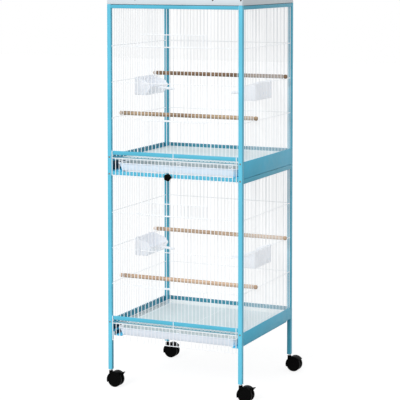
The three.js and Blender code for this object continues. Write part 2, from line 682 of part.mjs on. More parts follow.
function buildKnob() {
  const guardFront = GUARD_Y - UPRIGHT_WIRE / 2;
  const guardBack = GUARD_Y + UPRIGHT_WIRE / 2;
  const wireTop = guardWireZ(UPPER_TIER_TOP_Z) + UPRIGHT_WIRE / 2;
  const z = wireTop + KNOB_ABOVE_WIRE;
  const steps = KNOB_LOBES * 8;
  const points = Array.from({ length: steps }, (_, i) => {
    const angle = (2 * Math.PI * i) / steps;
    const radius = KNOB_RADIUS - KNOB_LOBE_DEPTH * (1 - Math.cos(KNOB_LOBES * angle)) / 2;
    return [KNOB_X + radius * Math.cos(angle), z + radius * Math.sin(angle)];
  });
  const head = extrudeAlongY(outline(points), guardFront - SEAT_GAP - KNOB_THICKNESS, KNOB_THICKNESS);
  const washerFront = guardBack + SEAT_GAP;
  const shankFront = guardFront - SEAT_GAP - KNOB_THICKNESS / 2;
  const shankBack = washerFront + KNOB_WASHER_THICKNESS / 2;
  const shank = rodAlongY(KNOB_SHANK_RADIUS, shankFront, shankBack, KNOB_X, z, 12);
  const washer = rodAlongY(
    KNOB_WASHER_RADIUS, washerFront, washerFront + KNOB_WASHER_THICKNESS, KNOB_X, z, 20);
  addMesh('guard_knob', join([head, shank, washer]), BLACK);
}

buildKnob();

// Perches: dowels through both side panels, grooved where they pass between two uprights,
// resting on the cross wires.

function buildPerch(name, column, wireZ) {
  const y = column * WIRE_PITCH;
  const z = wireZ + CROSS_WIRE / 2 + SEAT_GAP + PERCH_RADIUS;
  const end = HALF_W + PERCH_END_OVERHANG;
  const grooveOut = PANEL_X + UPRIGHT_WIRE / 2 + PERCH_GROOVE_CLEARANCE;
  const grooveIn = PANEL_X - UPRIGHT_WIRE / 2 - PERCH_GROOVE_CLEARANCE;
  const profile = [
    [0, -end],
    [PERCH_RADIUS, -end],
    [PERCH_RADIUS, -grooveOut],
    [PERCH_GROOVE_RADIUS, -grooveOut],
    [PERCH_GROOVE_RADIUS, -grooveIn],
    [PERCH_RADIUS, -grooveIn],
    [PERCH_RADIUS, grooveIn],
    [PERCH_GROOVE_RADIUS, grooveIn],
    [PERCH_GROOVE_RADIUS, grooveOut],
    [PERCH_RADIUS, grooveOut],
    [PERCH_RADIUS, end],
    [0, end],
  ].map(([r, h]) => new THREE.Vector2(r, h));
  const dowel = new THREE.LatheGeometry(profile, 16).rotateZ(-Math.PI / 2).translate(0, y, z);
  addMesh(name, dowel, WOOD);
}

for (const [tier, tierTopZ] of [['upper', UPPER_TIER_TOP_Z], ['lower', LOWER_TIER_TOP_Z]]) {
  buildPerch(`${tier}_perch_front`, FRONT_PERCH_COLUMN, tierTopZ - CROSS_WIRE_DROPS[2]);
  buildPerch(`${tier}_perch_rear`, REAR_PERCH_COLUMN, tierTopZ - CROSS_WIRE_DROPS[1]);
}

// Feeder cups: an open hopper with a sloping inner wall and a perch stub, hung by two hooks on
// the middle cross wire of a side panel. Drawn at the right side, mirrored for the left.

function cupSide() {
  return outline([
    [0, 0],
    [-CUP_FLOOR_DEPTH, 0],
    [-CUP_LIP_DEPTH, CUP_LIP_HEIGHT],
    [-CUP_CHEEK_DEPTH, CUP_CHEEK_HEIGHT],
    [0, CUP_BACK_HEIGHT],
  ]);
}

function cupHollow() {
  const margin = CUP_WALL;
  const lipSlope = (CUP_LIP_DEPTH - CUP_FLOOR_DEPTH) / CUP_LIP_HEIGHT;
  const above = CUP_BACK_HEIGHT + CUT_MARGIN;
  return outline([
    [-margin, margin],
    [-CUP_FLOOR_DEPTH + margin - lipSlope * margin, margin],
    [-CUP_LIP_DEPTH + margin, CUP_LIP_HEIGHT],
    [-CUP_LIP_DEPTH + margin, above],
    [-margin, above],
  ]);
}

function cupGeometry(gaps, wireZ) {
  const centreY = (WIRE_PITCH * (gaps[0] + gaps[1])) / 2;
  const backX = HALF_W - CROSS_INSET - CROSS_WIRE / 2 - SEAT_GAP;
  const bottomZ = wireZ + CUP_ABOVE_WIRE - CUP_BACK_HEIGHT;
  const halfLength = CUP_LENGTH / 2;
  const shell = extrudeAlongY(cupSide(), -halfLength, CUP_LENGTH);
  const hollow = extrudeAlongY(cupHollow(), -halfLength + CUP_WALL, CUP_LENGTH - 2 * CUP_WALL);
  const stub = rodAlongX(CUP_STUB_RADIUS, -CUP_STUB_LENGTH, 0, 0, 0, 12)
    .rotateY(-degrees(CUP_STUB_DROOP))
    .translate((-CUP_FLOOR_DEPTH - CUP_LIP_DEPTH) / 2, 0, CUP_STUB_HEIGHT);
  const hookTop = CUP_BACK_HEIGHT;
  const overWire = CUP_BACK_HEIGHT - CUP_ABOVE_WIRE + CROSS_WIRE / 2 + SEAT_GAP;
  const wireDepth = CROSS_WIRE + 2 * SEAT_GAP;
  const hooks = gaps.flatMap((gap) => {
    const y = gap * WIRE_PITCH - centreY;
    const y0 = y - CUP_HOOK_WIDTH / 2;
    const y1 = y + CUP_HOOK_WIDTH / 2;
    return [
      box(-CUP_WALL, wireDepth + CUP_HOOK_THICKNESS, y0, y1, overWire, hookTop),
      box(wireDepth, wireDepth + CUP_HOOK_THICKNESS, y0, y1, hookTop - CUP_HOOK_DROP, hookTop),
    ];
  });
  const body = toSolid(cut(shell, [hollow]));
  const stubSolid = toSolid(stub).subtract(toSolid(hollow));
  const solid = hooks.map(toSolid).reduce((sum, next) => sum.add(next), body.add(stubSolid));
  return toGeometry(solid).translate(backX, centreY, bottomZ);
}

for (const [tier, tierTopZ] of [['upper', UPPER_TIER_TOP_Z], ['lower', LOWER_TIER_TOP_Z]]) {
  const wireZ = tierTopZ - CROSS_WIRE_DROPS[1];
  addMesh(`${tier}_cup_left`, mirrorX(cupGeometry(LEFT_CUP_GAPS, wireZ)), CUP_PLASTIC);
  addMesh(`${tier}_cup_right`, cupGeometry(RIGHT_CUP_GAPS, wireZ), CUP_PLASTIC);
}

// Casters: a hood that swivels on the post's stem, two wheels on one axle and a brake lever.
// Each is drawn with the wheel centre at the origin and trails towards +X.

const HOOD_INNER = WHEEL_RADIUS + WHEEL_CLEARANCE;
const HOOD_OUTER = HOOD_INNER + HOOD_WALL;

function ringSector(inner, outer, fromAngle, toAngle) {
  const shape = new THREE.Shape();
  shape.absarc(0, 0, outer, degrees(fromAngle), degrees(toAngle), false);
  shape.absarc(0, 0, inner, degrees(toAngle), degrees(fromAngle), true);
  shape.closePath();
  return shape;
}

function webShape() {
  const shape = new THREE.Shape();
  shape.absarc(0, 0, HOOD_OUTER - 1, degrees(HOOD_REAR_ANGLE + 2), degrees(HOOD_FRONT_ANGLE - 2), false);
  shape.absarc(0, 0, HUB_RADIUS, degrees(240), degrees(350), false);
  shape.closePath();
  return shape;
}

function hoodGeometry(hasBrake) {
  const half = CASTER_WIDTH / 2;
  const webHalf = CASTER_WEB / 2;
  const bossTop = BOSS_TOP_Z - WHEEL_RADIUS;
  const sector = ringSector(HOOD_INNER, HOOD_OUTER, HOOD_REAR_ANGLE, HOOD_FRONT_ANGLE);
  const shell = extrudeAlongY(sector, -half, CASTER_WIDTH, HOOD_SEGMENTS);
  const web = extrudeAlongY(webShape(), -webHalf, CASTER_WEB, HOOD_SEGMENTS);
  const boss = rodAlongZ(BOSS_RADIUS, bossTop - BOSS_LENGTH, bossTop, -CASTER_TRAIL, 0, 16);
  const wheelRoom = [[-half - CUT_MARGIN, -webHalf], [webHalf, half + CUT_MARGIN]].map(([y0, y1]) =>
    rodAlongY(HOOD_INNER, y0, y1, 0, 0, ROUND_SEGMENTS));
  const bossOutside = cut(boss, wheelRoom);
  const boreBottom = bossTop - STEM_DEPTH - SEAT_GAP;
  const bore = rodAlongZ(
    STEM_RADIUS + STEM_CLEARANCE, boreBottom, bossTop + CUT_MARGIN, -CASTER_TRAIL, 0, 12);
  const axleHole = rodAlongY(AXLE_RADIUS + AXLE_CLEARANCE, -half, half, 0, 0, 16);
  const tools = [bore, axleHole];
  if (hasBrake) {
    const slotHalf = LEVER_WIDTH / 2 + SEAT_GAP;
    const opening = ringSector(
      WHEEL_RADIUS + SEAT_GAP, HOOD_OUTER + SEAT_GAP, HOOD_REAR_ANGLE - 5, LEVER_SLOT_END_ANGLE);
    tools.push(extrudeAlongY(opening, -slotHalf, 2 * slotHalf, HOOD_SEGMENTS));
  }
  return cut(join([shell, web, bossOutside]), tools);
}

function wheelsGeometry() {
  const outer = CASTER_WIDTH / 2;
  const inner = CASTER_WEB / 2 + SEAT_GAP;
  const edge = WHEEL_EDGE_RADIUS;
  const side = [
    [0, outer],
    [WHEEL_RADIUS - edge, outer],
    [WHEEL_RADIUS, outer - edge],
    [WHEEL_RADIUS, inner + edge],
    [WHEEL_RADIUS - edge, inner],
    [AXLE_RADIUS, inner],
  ];
  const lower = side.map(([r, h]) => [r, -h]);
  const profile = [...lower, ...side.reverse()].map(([r, h]) => new THREE.Vector2(r, h));
  return new THREE.LatheGeometry(profile, ROUND_SEGMENTS);
}

function leverGeometry() {
  const pivotRadius = WHEEL_RADIUS + LEVER_KNUCKLE_RADIUS + 2 * SEAT_GAP;
  const pivotX = pivotRadius * Math.cos(degrees(LEVER_PIVOT_ANGLE));
  const pivotZ = pivotRadius * Math.sin(degrees(LEVER_PIVOT_ANGLE));
  const half = LEVER_WIDTH / 2;
  const knuckle = rodAlongY(LEVER_KNUCKLE_RADIUS, -half, half, 0, 0, 16);
  const plate = box(0, LEVER_REACH, -half, half, -LEVER_THICKNESS / 2, LEVER_THICKNESS / 2);
  return join([knuckle, plate]).rotateY(-degrees(LEVER_RISE)).translate(pivotX, 0, pivotZ);
}

const wheels = wheelsGeometry();
const lever = leverGeometry();

function buildCaster(corner, sideX, sideY, hasBrake) {
  const pieces = [['hood', hoodGeometry(hasBrake)], ['wheels', wheels]];
  if (hasBrake) {
    pieces.push(['brake', lever]);
  }
  for (const [piece, geometry] of pieces) {
    const mesh = addMesh(`caster_${piece}_${corner}`, geometry, BLACK);
    mesh.position.set(
      sideX * (HALF_W - POST_SIZE / 2) + CASTER_TRAIL, sideY * (HALF_D - POST_SIZE / 2), WHEEL_RADIUS);
  }
}

buildCaster('front_left', -1, -1, true);
buildCaster('front_right', 1, -1, true);
buildCaster('rear_left', -1, 1, false);
buildCaster('rear_right', 1, 1, false);

// The origin is on the floor under the middle of the whole outline.
const extent = new THREE.Box3().setFromObject(cage);
const middle = extent.getCenter(new THREE.Vector3()).setZ(extent.min.z);
cage.children.forEach((mesh) => mesh.position.sub(middle));

export default cage;
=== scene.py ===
import math

import bmesh
import bpy
from mathutils import Matrix, Vector


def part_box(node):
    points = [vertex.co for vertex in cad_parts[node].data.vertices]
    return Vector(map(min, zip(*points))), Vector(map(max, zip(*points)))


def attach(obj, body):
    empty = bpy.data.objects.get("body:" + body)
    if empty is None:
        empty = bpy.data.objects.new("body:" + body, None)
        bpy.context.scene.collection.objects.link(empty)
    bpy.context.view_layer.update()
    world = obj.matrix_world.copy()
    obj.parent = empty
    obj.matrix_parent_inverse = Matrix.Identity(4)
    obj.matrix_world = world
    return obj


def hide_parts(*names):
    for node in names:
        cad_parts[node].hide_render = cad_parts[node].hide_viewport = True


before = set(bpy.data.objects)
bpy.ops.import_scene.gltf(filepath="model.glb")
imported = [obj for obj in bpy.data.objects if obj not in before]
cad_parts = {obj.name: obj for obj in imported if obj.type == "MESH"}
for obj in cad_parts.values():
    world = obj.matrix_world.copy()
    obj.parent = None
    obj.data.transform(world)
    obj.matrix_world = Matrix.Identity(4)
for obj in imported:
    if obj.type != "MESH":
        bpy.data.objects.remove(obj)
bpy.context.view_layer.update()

# Corner posts. Four lengths of thin square steel tube, powder coated pale blue, closed at the
# foot by a welded plug that takes the caster's stem. The paint is satin with a fine orange peel,
# and the faces that look into the cage are darkened with painted shade.
roof_low, roof_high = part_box("roof_pan")
cage_middle = Vector(((roof_low.x + roof_high.x) / 2, (roof_low.y + roof_high.y) / 2, 0))
half_width = (roof_high.x - roof_low.x) / 2
half_depth = (roof_high.y - roof_low.y) / 2
upper_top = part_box("top_rail_front")[1].z
lower_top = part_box("middle_rail_front")[1].z
tiers = (("upper", upper_top), ("lower", lower_top))
post_size = 0.0126
post_foot = 0.0515
post_rounding = 0.0013
post_inset = post_size / 2
post_blue = (0.14, 0.62, 0.84)
paint_roughness = 0.45
noise_low, noise_high = 0.3, 0.7
deep_shade_colour = (0.03, 0.06, 0.08)
deep_shade_fade_down, deep_shade_fade_up = 0.003, 0.001
inside_shade_limit = -0.02


def shader(name, colour, roughness, metallic=0.0, coat=0.0):
    look = bpy.data.materials.new(name)
    look.use_nodes = True
    surface = look.node_tree.nodes["Principled BSDF"]
    surface.inputs["Base Color"].default_value = (*colour, 1)
    surface.inputs["Roughness"].default_value = roughness
    surface.inputs["Metallic"].default_value = metallic
    surface.inputs["Coat Weight"].default_value = coat
    surface.inputs["Coat Roughness"].default_value = 0.25
    return look, look.node_tree, surface


def calculate(tree, operation, *terms):
    """One step of arithmetic on terms that are sockets or plain numbers."""
    step = tree.nodes.new("ShaderNodeMath")
    step.operation = operation
    for socket, term in zip(step.inputs, terms):
        if isinstance(term, (int, float)):
            socket.default_value = term
        else:
            tree.links.new(term, socket)
    return step.outputs[0]


def noise(tree, scale, detail=3.0, stretch=(1, 1, 1)):
    place = tree.nodes.new("ShaderNodeTexCoord")
    mapping = tree.nodes.new("ShaderNodeMapping")
    mapping.inputs["Scale"].default_value = stretch
    pattern = tree.nodes.new("ShaderNodeTexNoise")
    pattern.inputs["Scale"].default_value = scale
    pattern.inputs["Detail"].default_value = detail
    tree.links.new(place.outputs["Object"], mapping.inputs["Vector"])
    tree.links.new(mapping.outputs["Vector"], pattern.inputs["Vector"])
    return pattern.outputs["Fac"]


def ramp(tree, value, stops):
    curve = tree.nodes.new("ShaderNodeValToRGB")
    curve.color_ramp.elements[0].position = stops[0][0]
    curve.color_ramp.elements[1].position = stops[-1][0]
    for position, colour in stops[1:-1]:
        curve.color_ramp.elements.new(position).color = (*colour, 1)
    curve.color_ramp.elements[0].color = (*stops[0][1], 1)
    curve.color_ramp.elements[-1].color = (*stops[-1][1], 1)
    tree.links.new(value, curve.inputs["Fac"])
    return curve.outputs["Color"]


def vary_roughness(tree, surface, value, low, high):
    span = tree.nodes.new("ShaderNodeMapRange")
    span.inputs["From Min"].default_value = noise_low
    span.inputs["From Max"].default_value = noise_high
    span.inputs["To Min"].default_value = low
    span.inputs["To Max"].default_value = high
    tree.links.new(value, span.inputs["Value"])
    tree.links.new(span.outputs["Result"], surface.inputs["Roughness"])


def emboss(tree, surface, value, strength, depth):
    bump = tree.nodes.new("ShaderNodeBump")
    bump.inputs["Strength"].default_value = strength
    bump.inputs["Distance"].default_value = depth
    tree.links.new(value, bump.inputs["Height"])
    tree.links.new(bump.outputs["Normal"], surface.inputs["Normal"])


def tone(colour, factor):
    return tuple(min(1.0, c * factor) for c in colour)


def powder_coat(name, colour, roughness, spread=0.05):
    """Satin paint, a little uneven in tone and gloss, with a fine orange peel."""
    look, tree, surface = shader(name, colour, roughness, coat=0.05)
    surface.inputs["Specular IOR Level"].default_value = 0.3
    patches = noise(tree, scale=9.0, detail=4.0)
    mottle = ramp(tree, patches, [(noise_low, tone(colour, 1 - spread)),
                                  (noise_high, tone(colour, 1 + spread))])
    tree.links.new(mottle, surface.inputs["Base Color"])
    grain = noise(tree, scale=60.0)
    vary_roughness(tree, surface, grain, low=roughness - 0.05, high=roughness + 0.07)
    peel = noise(tree, scale=700.0, detail=2.0)
    emboss(tree, surface, peel, strength=0.12, depth=0.0004)
    return look


def recolour(tree, share, colour, blend="MULTIPLY"):
    """Blends another colour into a piece's base colour, by a share from 0 to 1."""
    base = tree.nodes["Principled BSDF"].inputs["Base Color"]
    coat = base.links[0].from_socket
    mixed = tree.nodes.new("ShaderNodeMix")
    mixed.data_type = "RGBA"
    mixed.blend_type = blend
    mixed.inputs[7].default_value = (*colour, 1)
    tree.links.new(share, mixed.inputs[0])
    tree.links.new(coat, mixed.inputs[6])
    tree.links.new(mixed.outputs[2], base)
    return mixed


def object_height(tree):
    place = tree.nodes.new("ShaderNodeTexCoord")
    parts = tree.nodes.new("ShaderNodeSeparateXYZ")
    tree.links.new(place.outputs["Object"], parts.inputs[0])
    return parts.outputs["Z"]


def paint_inside_shade(look, share, deep_shade_below=None):
    """Paints shade onto the faces of a painted piece that look towards the middle of the cage.
    Below a height it paints them nearly black, as deep shade."""
    tree = look.node_tree
    place = tree.nodes.new("ShaderNodeTexCoord")
    away = tree.nodes.new("ShaderNodeVectorMath")
    away.operation = "SUBTRACT"
    away.inputs[1].default_value = cage_middle
    level = tree.nodes.new("ShaderNodeVectorMath")
    level.operation = "MULTIPLY"
    level.inputs[1].default_value = (1, 1, 0)
    facing = tree.nodes.new("ShaderNodeNewGeometry")
    outward = tree.nodes.new("ShaderNodeVectorMath")
    outward.operation = "DOT_PRODUCT"
    tree.links.new(place.outputs["Object"], away.inputs[0])
    tree.links.new(away.outputs[0], level.inputs[0])
    tree.links.new(level.outputs[0], outward.inputs[0])
    tree.links.new(facing.outputs["Normal"], outward.inputs[1])
    inside = calculate(tree, "LESS_THAN", outward.outputs["Value"], inside_shade_limit)
    inside_shade_colour = (share * 0.8, share, share)
    mixed = recolour(tree, inside, inside_shade_colour)
    if deep_shade_below is not None:
        deep_shade_blend = tree.nodes.new("ShaderNodeMapRange")
        deep_shade_blend.inputs["From Min"].default_value = deep_shade_below - deep_shade_fade_down
        deep_shade_blend.inputs["From Max"].default_value = deep_shade_below + deep_shade_fade_up
        tree.links.new(object_height(tree), deep_shade_blend.inputs["Value"])
        shade = ramp(tree, deep_shade_blend.outputs["Result"], [(0.0, deep_shade_colour), (1.0, inside_shade_colour)])
        tree.links.new(shade, mixed.inputs[7])


def settle(name, shape, look, body, replaced=(), smooth=35):
    """Moves a modelled shape to its place in the cage and hands it to the body that has it."""
    bmesh.ops.translate(shape, verts=shape.verts, vec=cage_middle)
    bmesh.ops.recalc_face_normals(shape, faces=shape.faces)
    mesh = bpy.data.meshes.new(name)
    shape.to_mesh(mesh)
    shape.free()
    mesh.shade_smooth()
    mesh.set_sharp_from_angle(angle=math.radians(smooth))
    mesh.materials.append(look)
    piece = bpy.data.objects.new(name, mesh)
    bpy.context.scene.collection.objects.link(piece)
    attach(piece, body)
    if replaced:
        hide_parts(*replaced)
    return piece


def section(shape, corners, start, end, axis):
    """Draws a section in the plane across an axis and extrudes it from start to end."""
    def at(u, v, w):
        return {"x": (w, u, v), "y": (u, w, v), "z": (u, v, w)}[axis]

    drawn = [shape.verts.new(at(u, v, start)) for u, v in corners]
    face = shape.faces.new(drawn)
    grown = bmesh.ops.extrude_face_region(shape, geom=[face])
    moved = [v for v in grown["geom"] if isinstance(v, bmesh.types.BMVert)]
    step = Vector(at(0, 0, end)) - Vector(at(0, 0, start))
    bmesh.ops.translate(shape, verts=moved, vec=step)
    bmesh.ops.recalc_face_normals(shape, faces=shape.faces)


def post_centre(side, end):
    return side * (half_width - post_inset), end * (half_depth - post_inset)


post_paint = powder_coat("pale blue coat of the posts", post_blue, paint_roughness)
paint_inside_shade(post_paint, 0.85)
corners = (("front_left", -1, -1), ("front_right", 1, -1),
           ("rear_left", -1, 1), ("rear_right", 1, 1))
for corner, side, end in corners:
    x, y = post_centre(side, end)
    shape = bmesh.new()
    square = [(x - post_inset, y - post_inset), (x + post_inset, y - post_inset),
              (x + post_inset, y + post_inset), (x - post_inset, y + post_inset)]
    section(shape, square, post_foot, upper_top, "z")
    upright = [e for e in shape.edges if e.calc_length() > 2 * post_size]
    bmesh.ops.bevel(shape, geom=upright, offset=post_rounding, segments=4, profile=0.5,
                    affect="EDGES", material=-1)
    settle("tube_post_" + corner, shape, post_paint, "frame", ["post_" + corner])

# Caster stems. A bright zinc plated pin runs from each foot plug into the caster below, with a
# pale turned collar that the swivel bears on.
stem_low, stem_high, stem_radius = 0.0410, 0.0520, 0.003
collar_low, collar_high, collar_radius = 0.0475, 0.0516, 0.0046
collar_rounding = 0.0004
zinc, zinc_tree, zinc_surface = shader("zinc plate", (0.62, 0.64, 0.66), 0.3, metallic=1.0)
vary_roughness(zinc_tree, zinc_surface, noise(zinc_tree, scale=250.0), low=0.22, high=0.4)


def rod(shape, start, end, radius, sides=8, tip=0.0):
    """A straight round rod between two points, its ends flat or drawn in by tip."""
    start, end = Vector(start), Vector(end)
    along = end - start
    turn = along.to_track_quat("Z", "Y").to_matrix().to_4x4()
    made = bmesh.ops.create_cone(
        shape, cap_ends=True, segments=sides, radius1=radius, radius2=radius,
        depth=along.length, matrix=Matrix.Translation((start + end) / 2) @ turn)
    if tip:
        rims = {e for v in made["verts"] for e in v.link_edges
                if e.calc_face_angle(0) > math.radians(60)}
        bmesh.ops.bevel(shape, geom=list(rims), offset=tip, segments=3, profile=0.5,
                        affect="EDGES", material=-1)


for corner, side, end in corners:
    x, y = post_centre(side, end)
    shape = bmesh.new()
    rod(shape, (x, y, stem_low), (x, y, stem_high), stem_radius, 20)
    rod(shape, (x, y, collar_low), (x, y, collar_high), collar_radius, 24, tip=collar_rounding)
    settle("caster_stem_" + corner, shape, zinc, "frame")

# Rails. Thin angle closes each tier at the top, flange inwards, and plain strips close it at the
# base, front and rear, and butt against the posts. Their blue is the posts' darkened as painted
# shade, their inner faces carry painted shade, and painted shadow lines the seam under the roof
# pan.
rail_names = ["%s_rail_%s" % (level, place) for level in ("top", "middle")
              for place in ("front", "rear", "left", "right")]
rail_names += ["%s_base_rail_%s" % (tier, place) for tier in ("upper", "lower")
               for place in ("front", "rear")]
# The rails' blue is the posts' blue darkened, as painted shade.
rail_blue_darkened_as_shade = (0.105, 0.53, 0.73)
rail_inside_shade_share = 0.62
rail_rounding = 0.00035
seam_shadow_colour = (0.10, 0.16, 0.18)
seam_shadow_reach = 0.0016
same_point = 0.00002


def soften(shape, radius, steps=2, angle=50):
    """Rounds every edge that is sharper than an angle."""
    sharp = [e for e in shape.edges
             if len(e.link_faces) == 2 and e.calc_face_angle(0) > math.radians(angle)]
    bmesh.ops.bevel(shape, geom=sharp, offset=radius, segments=steps, profile=0.5,
                    affect="EDGES", material=-1, clamp_overlap=True)


def smoothed_copy(name, look, body, radius):
    """The CAD piece with its folds and edges eased, as bent sheet has."""
    shape = bmesh.new()
    shape.from_mesh(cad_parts[name].data)
    bmesh.ops.remove_doubles(shape, verts=shape.verts, dist=same_point)
    bmesh.ops.dissolve_limit(shape, angle_limit=math.radians(1), verts=shape.verts,
                             edges=shape.edges)
    soften(shape, radius)
    bmesh.ops.translate(shape, verts=shape.verts, vec=-cage_middle)
    settle("eased_" + name, shape, look, body, [name])


rail_paint = powder_coat("pale blue powder coat", rail_blue_darkened_as_shade, paint_roughness)
paint_inside_shade(rail_paint, rail_inside_shade_share)
top_paint = powder_coat("blue coat of the top rails", rail_blue_darkened_as_shade, paint_roughness)
paint_inside_shade(top_paint, rail_inside_shade_share)
# A dark line of painted shadow runs just under the roof pan.
top_tree = top_paint.node_tree
in_seam_shadow = calculate(top_tree, "COMPARE", object_height(top_tree), upper_top, seam_shadow_reach)
recolour(top_tree, in_seam_shadow, seam_shadow_colour)
for name in rail_names:
    paint = top_paint if name.startswith("top") else rail_paint
    smoothed_copy(name, paint, "frame", rail_rounding)

# Side skirts. Deep painted panels at the foot of each tier, folded inwards along the bottom into
# the runner that carries the tray. The fold shows outside as a shallow groove. Inside they carry
# painted shade, and low down, beside the tray, painted deep shade that is nearly black.
skirt_blue = (0.095, 0.60, 0.86)
skirt_inside_shade_share = 0.62
skirt_rounding = 0.0004
deep_shade_drop = 0.4745
for tier, top in tiers:
    skirt_paint = powder_coat("blue coat of the %s skirts" % tier, skirt_blue, paint_roughness)
    paint_inside_shade(skirt_paint, skirt_inside_shade_share, top - deep_shade_drop)
    for side_name in ("left", "right"):
        smoothed_copy("%s_side_skirt_%s" % (tier, side_name), skirt_paint, "frame",
                      skirt_rounding)

# Roof pan. A pale pressed sheet lid, powder coated like the frame. Its rim is turned down over
# the top rails and screwed to them.
pan_rounding = 0.0012


def paint_in_glow(look, colour, strength):
    """A painted glow of its own, standing in for the fill light that a bright room gives pale
    finishes.
    """
    surface = look.node_tree.nodes["Principled BSDF"]
    surface.inputs["Emission Color"].default_value = (*colour, 1)
    surface.inputs["Emission Strength"].default_value = strength


pan_paint = powder_coat("pale grey powder coat", (0.65, 0.72, 0.77), 0.4, spread=0.03)
# The pale pan gets a painted glow.
paint_in_glow(pan_paint, (0.90, 0.97, 1.0), 0.10)
smoothed_copy("roof_pan", pan_paint, "frame", pan_rounding)

# Screws. Dull zinc pan heads hold the rails to the posts, front and rear, and darker ones hold
# the roof pan's rim.
head_radius = 0.0027
head_flattening = 0.55
base_screw_drop = 0.4595
top_screw_drop = 0.008
roof_screw_places = (-0.126, 0.126, 0.2145)
roof_screw_rise = 0.0150
zinc_screw, screw_tree, screw_surface = shader("dull zinc screw", (0.24, 0.20, 0.17), 0.42, 0.8)
vary_roughness(screw_tree, screw_surface, noise(screw_tree, scale=400.0), low=0.32, high=0.55)
dark_screw, dark_tree, dark_surface = shader("dark screw", (0.035, 0.03, 0.03), 0.5, 0.5)
vary_roughness(dark_tree, dark_surface, noise(dark_tree, scale=400.0), low=0.42, high=0.6)


def join(shape, part):
    """Adds a finished part to a shape, and frees the part."""
    mesh = bpy.data.meshes.new("joined part")
    part.to_mesh(mesh)
    part.free()
    shape.from_mesh(mesh)
    bpy.data.meshes.remove(mesh)


def screw(shape, place, outward):
    """A flattened dome, standing on a face that looks outward."""
    head = bmesh.new()
    bmesh.ops.create_uvsphere(head, u_segments=16, v_segments=8, radius=head_radius)
    bmesh.ops.bisect_plane(head, geom=head.verts[:] + head.edges[:] + head.faces[:],
                           plane_co=(0, 0, 0), plane_no=(0, 0, 1), clear_inner=True)
    bmesh.ops.scale(head, verts=head.verts, vec=(1, 1, head_flattening))
    rim = [e for e in head.edges if len(e.link_faces) == 1]
    bmesh.ops.edgeloop_fill(head, edges=rim)
    turn = Vector(outward).to_track_quat("Z", "Y").to_matrix().to_4x4()
    head.transform(Matrix.Translation(place) @ turn)
    join(shape, head)


post_screws, roof_screws = bmesh.new(), bmesh.new()
post_screw_heights = (upper_top - base_screw_drop, lower_top - top_screw_drop,
                      lower_top - base_screw_drop)
for z in post_screw_heights:
    for side in (-1, 1):
        x = side * (half_width - post_inset)
        screw(post_screws, (x, -half_depth, z), (0, -1, 0))
        screw(post_screws, (x, half_depth, z), (0, 1, 0))
for end in (-1, 1):
    for x in roof_screw_places:
        screw(roof_screws, (x, end * half_depth, upper_top + roof_screw_rise), (0, end, 0))
settle("post_screws", post_screws, zinc_screw, "frame")
settle("roof_screws", roof_screws, dark_screw, "frame")

# Wire panels. Hard drawn steel wire, welded at every crossing and white powder coated. Uprights
# run from a bar behind the top rail to a bar below the base rail, with cross wires inside. The
# bottom bar and the wire ends above it carry the frame's blue, darkened as painted shade.
wire_pitch = 0.01193
front_half_count = 17
side_half_count = 16
upright_wire = 0.001
drawn_wire = 0.0009
cross_wire = 0.0011
bar_wire = 0.00105
doorway_wire = 0.0015
weld_bead = 0.00145
wire_lap = 0.0001
panel_inset = 0.0025
panel_end_gap = 0.0003
panel_top_gap = 0.0015
panel_bottom_drop = 0.4593
cross_drops = (0.125, 0.2336, 0.3422)
doorway = 10 * wire_pitch
blue_tail_drop = 0.4556
shaded_tail_blue = (0.085, 0.34, 0.45)
white_coat = powder_coat("white powder coated wire", (0.63, 0.65, 0.67), 0.38, spread=0.02)
# Painted glow keeps the white wire bright where it is in shade.
paint_in_glow(white_coat, (0.96, 0.98, 1.0), 0.38)


def dipped_coat(name, height):
    """The white coat above a height, and below it the frame's blue darkened as painted shade,
    without the painted glow.
    """
    look = white_coat.copy()
    look.name = name
    tree = look.node_tree
    glow = tree.nodes["Principled BSDF"].inputs["Emission Strength"]
    above = calculate(tree, "GREATER_THAN", object_height(tree), height)
    recolour(tree, calculate(tree, "SUBTRACT", 1.0, above), shaded_tail_blue, blend="MIX")
    tree.links.new(calculate(tree, "MULTIPLY", above, glow.default_value), glow)
    return look


def weld(shape, x, y, z):
    bmesh.ops.create_icosphere(shape, subdivisions=1, radius=weld_bead,
                               matrix=Matrix.Translation((x, y, z)))


def wire_panel(columns, reach, plane, top, bottom, crossings, opening=None):
    """A welded grille in an X-Z plane whose inside is towards +Y."""
    shape = bmesh.new()
    inner = plane + upright_wire + cross_wire - wire_lap
    for u in columns:
        beside_door = opening is not None and abs(abs(u) - doorway) < wire_lap
        if opening is not None and abs(u) < doorway - wire_lap:
            rod(shape, (u, plane, opening[1]), (u, plane, top), drawn_wire)
            rod(shape, (u, plane, bottom), (u, plane, opening[0]), drawn_wire)
        else:
            rod(shape, (u, plane, bottom), (u, plane, top),
                doorway_wire if beside_door else drawn_wire, 10)
    for z in (top - upright_wire, bottom + upright_wire):
        rod(shape, (-reach, plane, z), (reach, plane, z), bar_wire)
    for z, spans in crossings:
        for u0, u1 in spans:
            rod(shape, (u0, inner, z), (u1, inner, z), cross_wire)
            for u in columns:
                if u0 - drawn_wire / 2 <= u <= u1 + drawn_wire / 2:
                    weld(shape, u, plane + upright_wire, z)
    if opening is not None:
        for z in opening:
            rod(shape, (-doorway, plane, z), (doorway, plane, z), cross_wire)
    return shape


